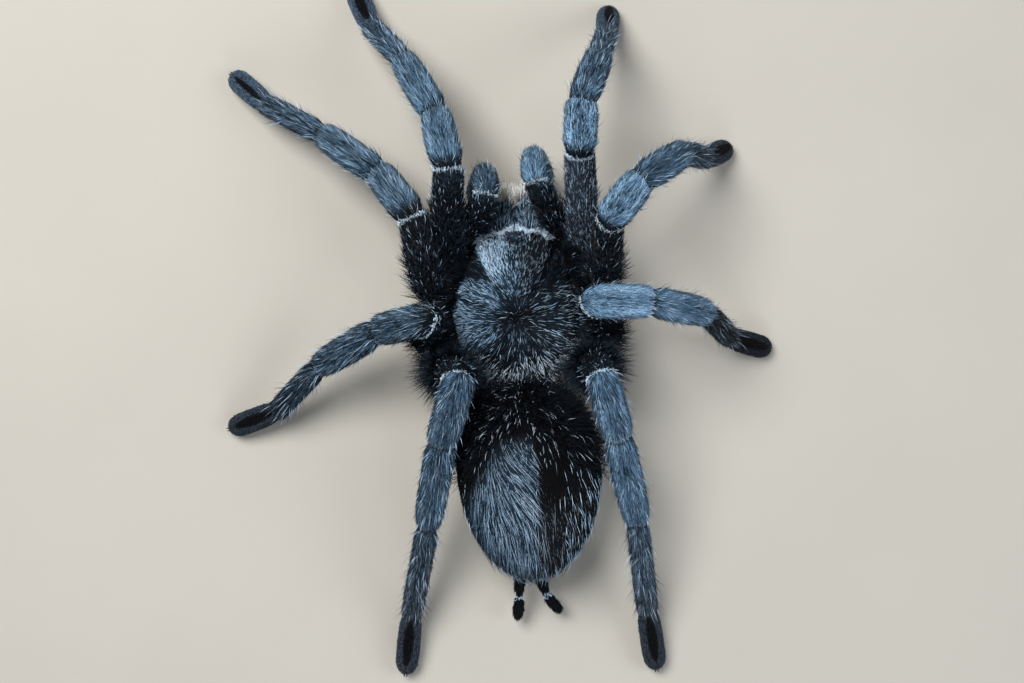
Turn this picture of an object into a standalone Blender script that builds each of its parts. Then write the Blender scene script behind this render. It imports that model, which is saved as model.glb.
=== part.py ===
"""Tarantula, life size, standing still on a level floor with its legs spread.

The spider faces -Y and its own left is +X.  Sizes are in millimetres; MM turns them into metres.
"""
import math

import bmesh
import bpy
from mathutils import Matrix, Vector

MM = 0.001
GAP = 0.3                    # clear space between two pieces that meet
THICK_SIDES = 12             # facets round a femur, patella or tibia
THIN_SIDES = 10              # facets round the other lengths of a limb
FOOT_SINK = 0.3              # how much of each foot's round underside the flat takes off

# Body.  Y runs from head to tail with the waist at 0.
CARAPACE_FRONT = -28.6
CARAPACE_REAR = 0.4
CARAPACE_RIM = 8.3           # height of the carapace's lower edge
CARAPACE_OUTLINE = [         # (y, half width)
    (-28.6, 4.4), (-26.6, 7.2), (-21.0, 9.2), (-16.0, 11.5),
    (-11.8, 12.3), (-6.0, 11.2), (-2.0, 8.9), (0.4, 5.6)]
CARAPACE_CREST = [           # (y, height above the rim) along the middle
    (-28.6, 3.6), (-26.6, 7.0), (-21.5, 9.0), (-16.0, 7.4),
    (-11.0, 6.0), (-5.0, 5.4), (0.4, 2.2)]
HUMP_HALF_WIDTH = 6.2        # the raised head part
HUMP_REAR = -13.0            # it fades in ahead of here
HUMP_FADE = 6.0
HUMP_FLANK = 0.62            # height of the sides beside it, as a share of the crest
EYE_MOUND_CENTRE = (-0.1, -26.6, 15.4)
EYE_MOUND_SIZE = (1.9, 1.15, 1.25)
EYE_PLACES = [               # (sideways, along, up, radius) of the four eyes on one side
    (0.72, -0.62, 0.62, 0.36), (1.42, -0.72, 0.12, 0.40),
    (1.55, 0.48, 0.38, 0.34), (0.98, 0.66, 0.66, 0.26)]

STERNUM_CENTRE = (0.0, -13.5, 5.6)
STERNUM_SIZE = (7.0, 9.6, 1.8)
COXA_RADIUS = 3.7
COXA_INNER = 0.3             # a coxa starts this far out from the sternum's middle, as a share
MAXILLA_RADIUS = 2.6

PEDICEL_HEIGHT = 6.8
PEDICEL_RADIUS = 1.3
PEDICEL_ENDS = (-4.2, 4.6)

ABDOMEN_ENDS = (0.75, 38.4)
ABDOMEN_SHIFT = -0.8         # the abdomen hangs a little to the right
ABDOMEN_LOW = 1.1
ABDOMEN_WIDEST = 0.57        # as a share of its length
ABDOMEN_HALF_WIDTH = 14.2
ABDOMEN_HEIGHT = 23.4
ABDOMEN_SHOULDER = (0.13, 0.35)    # its front is this much slimmer, over this share of its length
ABDOMEN_DROOP = (1.6, 0.25)        # its rear hangs this much lower
ABDOMEN_DIP = (2.2, 0.3)           # and so does its front, where it meets the waist

CHELICERA_BASE = (2.75, -25.9, 9.4)
CHELICERA_TIP = (1.95, -35.2, 4.4)
CHELICERA_HALF = (2.55, 1.85)      # half widths at the base and the tip
CHELICERA_DEPTH = 1.4              # height over width
CHELICERAE_TURN = -0.6             # both tips stand this far to the right
FANG_PATH = [                # (sideways, along, height, radius)
    (2.0, -34.4, 2.7, 0.85), (2.0, -33.5, 1.7, 0.85), (2.0, -31.4, 1.2, 0.7),
    (2.1, -29.4, 1.6, 0.5), (2.1, -28.0, 2.4, 0.28)]

SPINNERETS = {               # (x, y, z) of the root, the knuckle and the tip
    "left": [(1.9, 36.6, 6.4), (2.2, 42.0, 5.0), (2.8, 46.8, 3.4)],
    "right": [(-1.6, 36.6, 6.4), (-3.0, 41.8, 5.0), (-5.9, 45.7, 3.6)]}
SPINNERET_RADIUS = 1.25

# Legs.  Each chain runs femur, patella, tibia, metatarsus, tarsus; the palps have no metatarsus.
LEG_PIECES = ["femur", "patella", "tibia", "metatarsus", "tarsus"]
PALP_PIECES = ["femur", "patella", "tibia", "tarsus"]
LEG_HIPS = [(12.9, -24.1, 8.4), (16.4, -16.6, 8.4), (17.4, -8.0, 8.4), (13.8, -2.4, 8.6)]
LEG_LENGTHS = [
    (20.8, 11.2, 14.1, 13.0, 9.8),
    (18.0, 11.9, 13.9, 14.2, 10.5),
    (16.7, 11.5, 14.5, 14.9, 11.0),
    (20.0, 13.1, 18.0, 21.5, 12.7)]
PALP_HIP = (8.5, -27.8, 6.5)
PALP_LENGTHS = (16.0, 9.0, 8.8, 9.0)

# The stance.  A turn is counted outward from straight ahead and a rise from the level, in degrees.
# The last piece has a turn only: it comes down until its underside rests on the floor.
STANCE = {
    "left": [
        ([-6, 11, 27, 38, 21], [44, -21, -24, -37]),
        ([8, 35, 52, 58, 46], [37, -26, -15, -21]),
        ([-19, 100, 117, 131, 108], [75, -32, -24, -31]),
        ([-115, 161, 167, 166, 171], [81, -25, -26, -28])],
    "right": [
        ([-1, 3, 23, 20, 11], [35, 45, -41, -59]),
        ([4, 40, 58, 88, 63], [50, 46, -42, -66]),
        ([-35, 94, 102, 129, 107], [65, 29, -40, -59]),
        ([170, 165, 169, 174, 173], [84, -32, -20, -29])]}
PALP_STANCE = {
    "left": ([-30, 4, 155, 165], [62, -60, -62]),
    "right": ([-27, 2, 155, 165], [54, -52, -60])}

# Half widths of a leg at its joints and at the middle of each piece, and height over width.
LEG_JOINTS = [2.5, 2.9, 2.65, 2.15, 2.05]
LEG_MIDDLES = [3.15, 3.15, 2.85, 2.25, 2.5]
FOOT_TIP = 0.92              # a foot's half width near its tip, as a share of its middle
THICK = 2.7
LEG_DEPTH = 1.06
KNEE_BEND = 0.6              # a sharper joint than this has its outer corner blunted
KNEE_REACH = 1.15            # to this many half widths from the joint
PALP_JOINTS = [1.8, 2.3, 2.1, 1.8]
PALP_MIDDLES = [2.5, 2.6, 2.3, 2.0]

LOOKS = {                    # colour, roughness
    "velvet": ((0.012, 0.013, 0.018), 0.85),
    "steel_blue": ((0.075, 0.125, 0.185), 0.6),
    "charcoal": ((0.022, 0.026, 0.034), 0.8),
    "silver_black": ((0.045, 0.06, 0.08), 0.6),
    "shell": ((0.01, 0.008, 0.008), 0.15)}


def clear_scene():
    for thing in list(bpy.data.objects):
        bpy.data.objects.remove(thing, do_unlink=True)


def material(name):
    found = bpy.data.materials.get(name)
    if found:
        return found
    made = bpy.data.materials.new(name)
    made.use_nodes = True
    colour, roughness = LOOKS[name]
    shader = made.node_tree.nodes["Principled BSDF"]
    shader.inputs["Base Color"].default_value = (*colour, 1.0)
    shader.inputs["Roughness"].default_value = roughness
    shader.inputs["Metallic"].default_value = 0.0
    made.diffuse_color = (*colour, 1.0)
    return made


def add_object(name, bm, look, place=None, group=None):
    """A bmesh in millimetres becomes an object in metres, placed by a matrix in millimetres."""
    bmesh.ops.recalc_face_normals(bm, faces=bm.faces)
    bmesh.ops.scale(bm, vec=(MM, MM, MM), verts=bm.verts)
    mesh = bpy.data.meshes.new(name)
    bm.to_mesh(mesh)
    bm.free()
    mesh.shade_smooth()
    mesh.materials.append(material(look))
    made = bpy.data.objects.new(name, mesh)
    if place:
        made.location = place.to_translation() * MM
        made.rotation_euler = place.to_euler()
    (group or TARANTULA).objects.link(made)
    made.parent = ROOT
    return made


def smooth_step(t):
    t = min(max(t, 0.0), 1.0)
    return t * t * (3 - 2 * t)


def read_curve(points, where):
    """The value at a place on a smooth curve through (place, value) points."""
    if where <= points[0][0]:
        return points[0][1]
    for (a, low), (b, high) in zip(points, points[1:]):
        if where <= b:
            return low + (high - low) * smooth_step((where - a) / (b - a)) * 0.5 \
                + (high - low) * (where - a) / (b - a) * 0.5
    return points[-1][1]


def cut(bm, point, normal):
    """Cuts away what lies beyond a plane and closes the cut."""
    geometry = bm.verts[:] + bm.edges[:] + bm.faces[:]
    bmesh.ops.bisect_plane(
        bm, geom=geometry, dist=0.001, plane_co=point, plane_no=normal, clear_outer=True)
    rim = [edge for edge in bm.edges if edge.is_boundary]
    if rim:
        bmesh.ops.holes_fill(bm, edges=rim, sides=0)
        bmesh.ops.triangulate(bm, faces=[face for face in bm.faces if len(face.verts) > 4])


def turned(profile, sides):
    """A (distance along, radius) profile turned about local Z, with both ends closed."""
    bm = bmesh.new()
    points = [bm.verts.new((radius, 0.0, along)) for along, radius in profile]
    edges = [bm.edges.new(pair) for pair in zip(points, points[1:])]
    bmesh.ops.spin(
        bm, geom=points + edges, axis=(0, 0, 1), cent=(0, 0, 0), angle=math.tau, steps=sides)
    bmesh.ops.remove_doubles(bm, verts=bm.verts, dist=0.01)
    rim = [edge for edge in bm.edges if edge.is_boundary]
    if rim:
        bmesh.ops.holes_fill(bm, edges=rim, sides=0)
    return bm


def swell(bm, by):
    """Moves a shape's skin outward all round."""
    bm.normal_update()
    moved = [(vert, vert.co + vert.normal * by) for vert in bm.verts]
    for vert, place in moved:
        vert.co = place
    return bm


def combine(target, other, operation):
    """Joins or cuts an object with another, which stays as a hidden cutter."""
    other.hide_render = True
    other.display_type = "WIRE"
    step = target.modifiers.new(other.name, "BOOLEAN")
    step.operation = operation
    step.solver = "EXACT"
    step.object = other


def cutter(name, bm, place=None):
    return add_object(name, bm, "charcoal", place, CUTTERS)


def heading(turn, rise, side):
    """A direction from its turn outward from straight ahead and its rise, in degrees."""
    turn = math.radians(turn)
    rise = math.radians(rise)
    return Vector((
        side * math.sin(turn) * math.cos(rise), -math.cos(turn) * math.cos(rise), math.sin(rise)))


def foot_rise(height, length, radii):
    """The rise at which a foot that starts at a height comes to rest on the floor."""
    steep, level = -89.0, 20.0
    for _ in range(30):
        rise = (steep + level) / 2
        sine = math.sin(math.radians(rise))
        cosine = math.cos(math.radians(rise))
        lowest = min(
            height + along * sine - radius * LEG_DEPTH * cosine
            for along, radius in limb_profile(length, radii, True, False) if along > 0)
        if lowest > -FOOT_SINK:
            level = rise
        else:
            steep = rise
    return rise


def chain(hip, lengths, turns, rises, side, foot_radii):
    """The joints of one leg, from the hip to the tip on the floor."""
    joints = [Vector((hip[0] * side, hip[1], hip[2]))]
    for length, turn, rise in zip(lengths, turns, rises):
        joints.append(joints[-1] + heading(turn, rise, side) * length)
    rise = foot_rise(joints[-1].z, lengths[-1], foot_radii)
    joints.append(joints[-1] + heading(turns[-1], rise, side) * lengths[-1])
    return joints


def frame_along(start, end):
    """A frame at start with Z towards end, X level and Y on the upper side."""
    along = (end - start).normalized()
    across = along.cross(Vector((0, 0, 1)))
    if across.length < 0.05:
        across = Vector((1, 0, 0))
    across.normalize()
    upper = across.cross(along)
    turn = Matrix((across, -upper, along)).transposed().to_4x4()
    if turn.determinant() < 0:
        turn = Matrix((across, upper, along)).transposed().to_4x4()
    return Matrix.Translation(start) @ turn


def limb_profile(length, radii, joined_before, joined_after):
    """(distance along, half width) of one length of limb; a free end is rounded."""
    first, middle, last = radii
    overrun = 1.5 * max(first, last)
    if joined_before:
        profile = [(-overrun, first)]
    else:
        profile = [(-0.2 * first, 0.0), (0.0, 0.6 * first)]
    profile += [(0.2 * length, 0.35 * first + 0.65 * middle), (0.5 * length, middle)]
    if joined_after:
        profile += [(0.82 * length, 0.35 * middle + 0.65 * last), (length + overrun, last)]
    else:
        profile += [
            (0.82 * length, 0.25 * middle + 0.75 * last), (length - 0.3 * last, 0.62 * last),
            (length, 0.0)]
    return profile


def limb_piece(start, end, radii, depth, before, after, sides=THIN_SIDES):
    """One length of a limb between two joints, cut at the planes where it meets its neighbours.

    radii are the half widths at the start, in the middle and at the end.  before and after are
    the neighbours' directions, or None at a free end.
    """
    length = (end - start).length
    along = (end - start) / length
    first, middle, last = radii
    bm = turned(limb_profile(length, radii, before is not None, after is not None), sides)
    bmesh.ops.scale(bm, vec=(1.0, depth, 1.0), verts=bm.verts)
    place = frame_along(start, end)
    to_local = place.inverted()
    turn_local = to_local.to_3x3()
    for joint, neighbour, outward, radius in (
            (start, before, -1, first), (end, after, 1, last)):
        if neighbour is None:
            continue
        plane = (along + neighbour).normalized() * outward
        cut(bm, to_local @ (joint - plane * GAP / 2), turn_local @ plane)
        bend = (along - neighbour) * outward
        if bend.length > KNEE_BEND:
            knee = bend.normalized()
            cut(bm, to_local @ (joint + knee * radius * KNEE_REACH), turn_local @ knee)
    return bm, place


def stand_on_floor(bm, place):
    """Cuts a foot flat at the floor's level."""
    to_local = place.inverted()
    down = to_local.to_3x3() @ Vector((0, 0, -1))
    cut(bm, to_local @ Vector((place.translation.x, place.translation.y, 0.0)), down)


def piece_radii(index, joint_radii, middles):
    """Half widths of one piece at its start, middle and end."""
    if index < len(middles) - 1:
        return joint_radii[index], middles[index], joint_radii[index + 1]
    return joint_radii[index], middles[index], middles[index] * FOOT_TIP


def build_limb(title, joints, pieces, joint_radii, middles, root_direction):
    """All the pieces of one leg or palp, each its own object."""
    ways = [(b - a).normalized() for a, b in zip(joints, joints[1:])]
    for index, piece in enumerate(pieces):
        last = index == len(pieces) - 1
        radii = piece_radii(index, joint_radii, middles)
        before = ways[index - 1] if index else root_direction
        after = None if last else ways[index + 1]
        sides = THICK_SIDES if middles[index] > THICK else THIN_SIDES
        bm, place = limb_piece(
            joints[index], joints[index + 1], radii, LEG_DEPTH, before, after, sides)
        if last:
            stand_on_floor(bm, place)
        look = "velvet" if piece == "femur" else "charcoal" if piece == "tarsus" else "steel_blue"
        add_object(f"{title}_{piece}", bm, look, place)


def dome(bottom, swollen=0.0):
    """The carapace: a sphere drawn out to its outline and crest, cut flat below."""
    bm = bmesh.new()
    bmesh.ops.create_uvsphere(bm, u_segments=26, v_segments=14, radius=1.0)
    cut(bm, (0, 0, 0), (0, 0, -1))
    half = (CARAPACE_REAR - CARAPACE_FRONT) / 2
    middle = (CARAPACE_REAR + CARAPACE_FRONT) / 2
    for vert in bm.verts:
        across, along, up = vert.co
        y = middle + half * along
        chord = math.sqrt(max(1 - along * along, 1e-6))
        wide = read_curve(CARAPACE_OUTLINE, y)
        x = across / chord * wide if chord > 0.05 else across * wide
        crest = read_curve(CARAPACE_CREST, y)
        flank = HUMP_FLANK + (1 - HUMP_FLANK) * math.exp(-(x / HUMP_HALF_WIDTH) ** 4)
        head = smooth_step((HUMP_REAR - y) / HUMP_FADE)
        roundness = max(up, 0.0) ** 0.6
        z = crest * roundness * (flank * head + 1 - head)
        grow = 1 + swollen / 12
        vert.co = (x * grow, middle + (y - middle) * grow, bottom + z + (swollen if up > 0.01 else 0))
    return bm


def build_carapace():
    carapace = add_object("carapace", dome(CARAPACE_RIM), "silver_black")
    socket = bmesh.new()
    bmesh.ops.create_uvsphere(socket, u_segments=14, v_segments=8, radius=1.0)
    bmesh.ops.scale(socket, vec=[size + GAP for size in EYE_MOUND_SIZE], verts=socket.verts)
    combine(carapace, cutter(
        "eye_mound_socket", socket, Matrix.Translation(EYE_MOUND_CENTRE)), "DIFFERENCE")


def build_eye_mound():
    mound = bmesh.new()
    bmesh.ops.create_uvsphere(mound, u_segments=14, v_segments=8, radius=1.0)
    bmesh.ops.scale(mound, vec=EYE_MOUND_SIZE, verts=mound.verts)
    made = add_object("eye_mound", mound, "shell", Matrix.Translation(EYE_MOUND_CENTRE))
    for side in (1, -1):
        for index, (across, along, up, radius) in enumerate(EYE_PLACES):
            eye = bmesh.new()
            bmesh.ops.create_icosphere(eye, subdivisions=1, radius=radius)
            place = Vector(EYE_MOUND_CENTRE) + Vector((across * side, along, up))
            combine(made, cutter(
                f"eye_{index}_{side}", eye, Matrix.Translation(place)), "UNION")


def build_underside(root_ways):
    """The sternum with the coxae of the legs and the maxillae of the palps grown onto it."""
    plate = bmesh.new()
    bmesh.ops.create_uvsphere(plate, u_segments=20, v_segments=8, radius=1.0)
    bmesh.ops.scale(plate, vec=STERNUM_SIZE, verts=plate.verts)
    made = add_object(
        "sternum_and_coxae", plate, "velvet", Matrix.Translation(STERNUM_CENTRE))
    for name, (hip, way, first_way, radius) in root_ways.items():
        start = Vector(STERNUM_CENTRE).lerp(hip, COXA_INNER)
        radii = (radius * 0.7, radius * 0.95, radius * 0.8)
        coxa, place = limb_piece(start, hip, radii, 1.0, None, first_way)
        combine(made, cutter(f"coxa_{name}", coxa, place), "UNION")
    seat = cutter("carapace_seat", dome(CARAPACE_RIM - GAP, GAP))
    combine(made, seat, "DIFFERENCE")
    combine(made, cutter("pedicel_socket", pedicel_shape(GAP)), "DIFFERENCE")


def pedicel_shape(swollen):
    front, rear = PEDICEL_ENDS
    radius = PEDICEL_RADIUS + swollen
    bm = turned([
        (front - swollen, radius * 0.8), (front + 1.2, radius), (rear - 1.2, radius),
        (rear + swollen, radius * 0.8)], THIN_SIDES)
    lay = Matrix.Translation((0, 0, PEDICEL_HEIGHT)) @ Matrix.Rotation(-math.pi / 2, 4, "X")
    bmesh.ops.transform(bm, matrix=lay, verts=bm.verts)
    return bm


def build_pedicel():
    add_object("pedicel", pedicel_shape(0.0), "velvet")


def abdomen_shape(swollen):
    bm = bmesh.new()
    bmesh.ops.create_uvsphere(bm, u_segments=22, v_segments=13, radius=1.0)
    bmesh.ops.rotate(bm, verts=bm.verts, matrix=Matrix.Rotation(math.pi / 2, 3, "X"))
    front, rear = ABDOMEN_ENDS
    for vert in bm.verts:
        across, along, up = vert.co
        share = (along + 1) / 2
        skew = share ** (math.log(0.5) / math.log(ABDOMEN_WIDEST)) if share > 0 else 0.0
        y = front + (rear - front) * skew
        slimmer, front_share = ABDOMEN_SHOULDER
        shoulder = 1 - slimmer * smooth_step(1 - skew / front_share)
        x = across * ABDOMEN_HALF_WIDTH * shoulder
        half_height = ABDOMEN_HEIGHT / 2
        droop, rear_share = ABDOMEN_DROOP
        dip, dip_share = ABDOMEN_DIP
        lift = -droop * smooth_step(1 - (1 - skew) / rear_share) \
            - dip * smooth_step(1 - skew / dip_share)
        z = ABDOMEN_LOW + half_height + lift + up * half_height * shoulder
        centre = Vector((ABDOMEN_SHIFT * smooth_step(skew * 2), y, ABDOMEN_LOW + half_height))
        vert.co = (x + centre.x, y, z)
    if swollen:
        swell(bm, swollen)
    return bm


def build_abdomen():
    made = add_object("abdomen", abdomen_shape(0.0), "silver_black")
    combine(made, cutter("pedicel_root", pedicel_shape(GAP)), "DIFFERENCE")


def build_chelicerae():
    for name, side in (("left", 1), ("right", -1)):
        base = Vector((CHELICERA_BASE[0] * side, *CHELICERA_BASE[1:]))
        tip = Vector((CHELICERA_TIP[0] * side + CHELICERAE_TURN, *CHELICERA_TIP[1:]))
        wide, narrow = CHELICERA_HALF
        bm, place = limb_piece(
            base, tip, (wide * 0.95, (wide * 2 + narrow) / 3, narrow), CHELICERA_DEPTH, None, None)
        made = add_object(f"chelicera_{name}", bm, "silver_black", place)
        combine(made, cutter(f"carapace_lip_{name}", dome(CARAPACE_RIM - GAP, GAP)), "DIFFERENCE")
        route = bpy.data.curves.new(f"fang_{name}", "CURVE")
        route.dimensions = "3D"
        route.bevel_depth = MM
        route.bevel_resolution = 2
        route.use_fill_caps = True
        spline = route.splines.new("POLY")
        spline.points.add(len(FANG_PATH) - 1)
        for point, (across, along, up, radius) in zip(spline.points, FANG_PATH):
            place = Vector((across * side + CHELICERAE_TURN, along, up)) * MM
            point.co = (*place, 1.0)
            point.radius = radius
        fang = bpy.data.objects.new(f"fang_{name}", route)
        route.materials.append(material("shell"))
        TARANTULA.objects.link(fang)
        fang.parent = ROOT


def build_spinnerets():
    for name, places in SPINNERETS.items():
        root, knuckle, tip = [Vector(place) for place in places]
        stalk, place = limb_piece(
            root, knuckle, [SPINNERET_RADIUS * share for share in (0.9, 1.0, 0.75)],
            1.0, None, None)
        made = add_object(f"spinneret_{name}", stalk, "charcoal", place)
        start = knuckle - (tip - knuckle).normalized() * 0.6
        end, place = limb_piece(
            start, tip, [SPINNERET_RADIUS * share for share in (0.8, 1.0, 0.8)], 1.0, None, None)
        combine(made, cutter(f"spinneret_end_{name}", end, place), "UNION")
        combine(made, cutter(f"abdomen_tail_{name}", abdomen_shape(GAP)), "DIFFERENCE")


def build_legs():
    """Every leg and palp; returns where each meets the body."""
    roots = {}
    for name, side in (("left", 1), ("right", -1)):
        limbs = [
            (f"leg_{name}_{number + 1}", hip, LEG_LENGTHS[number], STANCE[name][number],
             LEG_PIECES, LEG_JOINTS, LEG_MIDDLES, COXA_RADIUS)
            for number, hip in enumerate(LEG_HIPS)]
        limbs.append((
            f"palp_{name}", PALP_HIP, PALP_LENGTHS, PALP_STANCE[name],
            PALP_PIECES, PALP_JOINTS, PALP_MIDDLES, MAXILLA_RADIUS))
        for title, hip, lengths, (turns, rises), pieces, joint_radii, middles, radius in limbs:
            foot_radii = piece_radii(len(pieces) - 1, joint_radii, middles)
            joints = chain(hip, lengths, turns, rises, side, foot_radii)
            root_way = (joints[0] - Vector(STERNUM_CENTRE)).normalized()
            first_way = (joints[1] - joints[0]).normalized()
            roots[title] = (joints[0], root_way, first_way, radius)
            build_limb(title, joints, pieces, joint_radii, middles, root_way)
    return roots


def centre_on_floor():
    """Moves the whole model so that its box stands centred on the origin."""
    bpy.context.view_layer.update()
    seen = bpy.context.evaluated_depsgraph_get()
    points = []
    for thing in TARANTULA.objects:
        shown = thing.evaluated_get(seen)
        points += [shown.matrix_world @ vert.co for vert in shown.to_mesh().vertices]
        shown.to_mesh_clear()
    middle = [
        (min(p[axis] for p in points) + max(p[axis] for p in points)) / 2 for axis in (0, 1)]
    ROOT.location = (-middle[0], -middle[1], 0.0)


clear_scene()
TARANTULA = bpy.data.collections.new("tarantula")
CUTTERS = bpy.data.collections.new("cutters")
bpy.context.scene.collection.children.link(TARANTULA)
bpy.context.scene.collection.children.link(CUTTERS)
ROOT = bpy.data.objects.new("tarantula_root", None)
bpy.context.scene.collection.objects.link(ROOT)
build_carapace()
build_eye_mound()
build_underside(build_legs())
build_pedicel()
build_abdomen()
build_chelicerae()
build_spinnerets()
centre_on_floor()
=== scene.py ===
import math
import bmesh
import bpy
import numpy as np
from mathutils import Matrix, Vector
from mathutils.bvhtree import BVHTree


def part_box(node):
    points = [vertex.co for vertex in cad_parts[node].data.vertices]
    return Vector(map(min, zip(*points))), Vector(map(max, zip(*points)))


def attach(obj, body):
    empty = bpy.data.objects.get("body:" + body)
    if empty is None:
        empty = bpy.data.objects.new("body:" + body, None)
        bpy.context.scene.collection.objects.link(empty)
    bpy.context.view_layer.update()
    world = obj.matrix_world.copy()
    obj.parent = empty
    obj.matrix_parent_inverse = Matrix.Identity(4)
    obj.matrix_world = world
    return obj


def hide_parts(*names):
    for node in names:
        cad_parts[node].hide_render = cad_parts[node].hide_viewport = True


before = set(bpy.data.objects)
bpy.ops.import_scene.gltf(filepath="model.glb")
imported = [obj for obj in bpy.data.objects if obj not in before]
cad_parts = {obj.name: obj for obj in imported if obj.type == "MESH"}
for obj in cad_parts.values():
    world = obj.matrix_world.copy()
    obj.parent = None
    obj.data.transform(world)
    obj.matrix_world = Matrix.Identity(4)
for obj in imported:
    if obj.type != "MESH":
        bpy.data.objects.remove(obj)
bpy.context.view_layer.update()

# The camera looks straight down on the spider's back, head upwards, as on a specimen laid out on
# a table.  Its place is set from the waist, where the pedicel joins the carapace to the abdomen;
# measures without MM are in millimetres.
MM = 0.001
CAMERA_FROM_WAIST = np.array((1.32, -7.2, 300)) * MM
CAMERA_ROLL = math.radians(2.7)
WAIST_INSET = 0.4        # how far the waist is ahead of the carapace's rear end


def add_object(name, data):
    """A new object in the scene."""
    made = bpy.data.objects.new(name, data)
    bpy.context.scene.collection.objects.link(made)
    return made


carapace_low, carapace_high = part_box("carapace")
waist = np.array((
    (carapace_low.x + carapace_high.x) / 2, carapace_high.y - WAIST_INSET * MM, 0.0))
camera_data = bpy.data.cameras.new("camera")
camera_data.lens = 54.0
camera_data.sensor_width = 36.0
camera_data.clip_start = 0.01
camera = add_object("camera", camera_data)
camera.location = waist + CAMERA_FROM_WAIST
camera.rotation_euler = (0.0, 0.0, math.pi - CAMERA_ROLL)
bpy.context.scene.camera = camera
bpy.context.scene.view_settings.view_transform = "Standard"

# A studio: a plain pale table, one large soft lamp high up ahead of the head and to its left, two
# weaker ones to its right and behind it, and the pale room's own light.
FLOOR_HALF = 900 * MM
FLOOR_COLOUR = (0.30, 0.285, 0.255)
LAMP_SIZE = 300 * MM
LAMPS = {     # place from the waist, power in watts, colour
    "key": ((170, -200, 450), 4.9, (1.0, 0.99, 0.97)),
    "fill": ((-380, 40, 330), 1.3, (0.92, 0.96, 1.0)),
    "rim": ((-60, 420, 260), 1.0, (0.92, 0.96, 1.0))}
ROOM_LIGHT = (0.80, 0.86, 0.95, 1.0)
ROOM_STRENGTH = 0.25


class Value:
    """A number that varies over a surface; plus and times signs on it add Math nodes."""

    def __init__(self, finish, socket):
        self.finish = finish
        self.socket = socket

    def math(self, operation, other):
        return self.finish.node("ShaderNodeMath", {"operation": operation}, (self, other))

    def __add__(self, other):
        return self.math("ADD", other)

    def __mul__(self, other):
        return self.math("MULTIPLY", other)

    __radd__ = __add__
    __rmul__ = __mul__


class Finish:
    """One material in the making; node() adds any node to it."""

    def __init__(self, name):
        self.material = bpy.data.materials.new(name)
        self.material.use_nodes = True
        self.tree = self.material.node_tree
        self.shader = self.tree.nodes["Principled BSDF"]

    def node(self, kind, settings=None, inputs=(), output=0):
        """Adds a node; inputs is a tuple in socket order or a dict by socket name or number."""
        node = self.tree.nodes.new(kind)
        for name, setting in (settings or {}).items():
            setattr(node, name, setting)
        pairs = inputs.items() if isinstance(inputs, dict) else enumerate(inputs)
        for key, given in pairs:
            self.join(node.inputs[key], given)
        return Value(self, node.outputs[output])

    def join(self, socket, given):
        if isinstance(given, Value):
            self.tree.links.new(given.socket, socket)
        elif isinstance(given, tuple):
            socket.default_value = (*given, 1.0)[:len(socket.default_value)]
        else:
            socket.default_value = given

    def mix(self, low, high, factor):
        """A colour between two, by a factor."""
        return self.node(
            "ShaderNodeMix", {"data_type": "RGBA"}, {0: factor, 6: low, 7: high}, output=2)

    def scale(self, colour, factor):
        """A colour made brighter or darker."""
        return self.node(
            "ShaderNodeVectorMath", {"operation": "SCALE"}, {0: colour, 3: factor})

    def attribute(self, name):
        """The red, green, blue and alpha of a mesh's colour layer, as numbers."""
        colour = self.node("ShaderNodeAttribute", {"attribute_name": name})
        parts = self.tree.nodes.new("ShaderNodeSeparateColor")
        self.join(parts.inputs[0], colour)
        last = Value(self, colour.socket.node.outputs["Alpha"])
        return [Value(self, parts.outputs[channel]) for channel in range(3)] + [last]

    def set(self, **inputs):
        for name, given in inputs.items():
            self.join(self.shader.inputs[name.replace("_", " ")], given)


floor_finish = Finish("pale_table")
grain = floor_finish.node("ShaderNodeTexNoise", inputs={"Scale": 60.0, "Detail": 5.0})
floor_finish.set(
    Base_Color=floor_finish.scale(FLOOR_COLOUR, 0.96 + 0.08 * grain), Roughness=0.9)
floor_mesh = bpy.data.meshes.new("floor")
floor_mesh.from_pydata(
    [(x * FLOOR_HALF, y * FLOOR_HALF, 0.0) for x, y in ((-1, -1), (1, -1), (1, 1), (-1, 1))],
    [], [(0, 1, 2, 3)])
floor_mesh.materials.append(floor_finish.material)
floor = add_object("floor", floor_mesh)
for name, (place, power, colour) in LAMPS.items():
    lamp_data = bpy.data.lights.new(name, "AREA")
    lamp_data.shape = "DISK"
    lamp_data.size = LAMP_SIZE
    lamp_data.energy = power
    lamp_data.color = colour
    lamp = add_object(name, lamp_data)
    lamp.location = Vector(waist) + Vector(place) * MM
    lamp.rotation_euler = (Vector(waist) - lamp.location).to_track_quat("-Z", "Y").to_euler()
room = bpy.data.worlds.new("room")
room.use_nodes = True
room_inputs = room.node_tree.nodes["Background"].inputs
room_inputs["Color"].default_value = ROOM_LIGHT
room_inputs["Strength"].default_value = ROOM_STRENGTH
bpy.context.scene.world = room

# The skin: the spider's whole outer shell and its soft joints, as one surface without a seam.
# Each limb is a chain of swelling lengths, drawn in at every joint; under the coat it is bare
# cuticle, so it lies inside the outline by the depth of the hair.
LEG = (          # parts, and their half widths at the joint before and in the middle
    ["femur", "patella", "tibia", "metatarsus", "tarsus"],
    [2.5, 2.9, 2.65, 2.15, 2.05], [3.15, 3.15, 2.85, 2.25, 2.5])
PALP = (["femur", "patella", "tibia", "tarsus"], [1.8, 2.3, 2.1, 1.8], [2.5, 2.6, 2.3, 2.0])
LIMBS = [        # hip on the left side and lengths of the parts: legs I to IV, then the palp
    ((12.9, -24.1, 8.4), (20.8, 11.2, 14.1, 13.0, 9.8)),
    ((16.4, -16.6, 8.4), (18.0, 11.9, 13.9, 14.2, 10.5)),
    ((17.4, -8.0, 8.4), (16.7, 11.5, 14.5, 14.9, 11.0)),
    ((13.8, -2.4, 8.6), (20.0, 13.1, 18.0, 21.5, 12.7)),
    ((8.5, -27.8, 6.5), (16.0, 9.0, 8.8, 9.0))]
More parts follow.
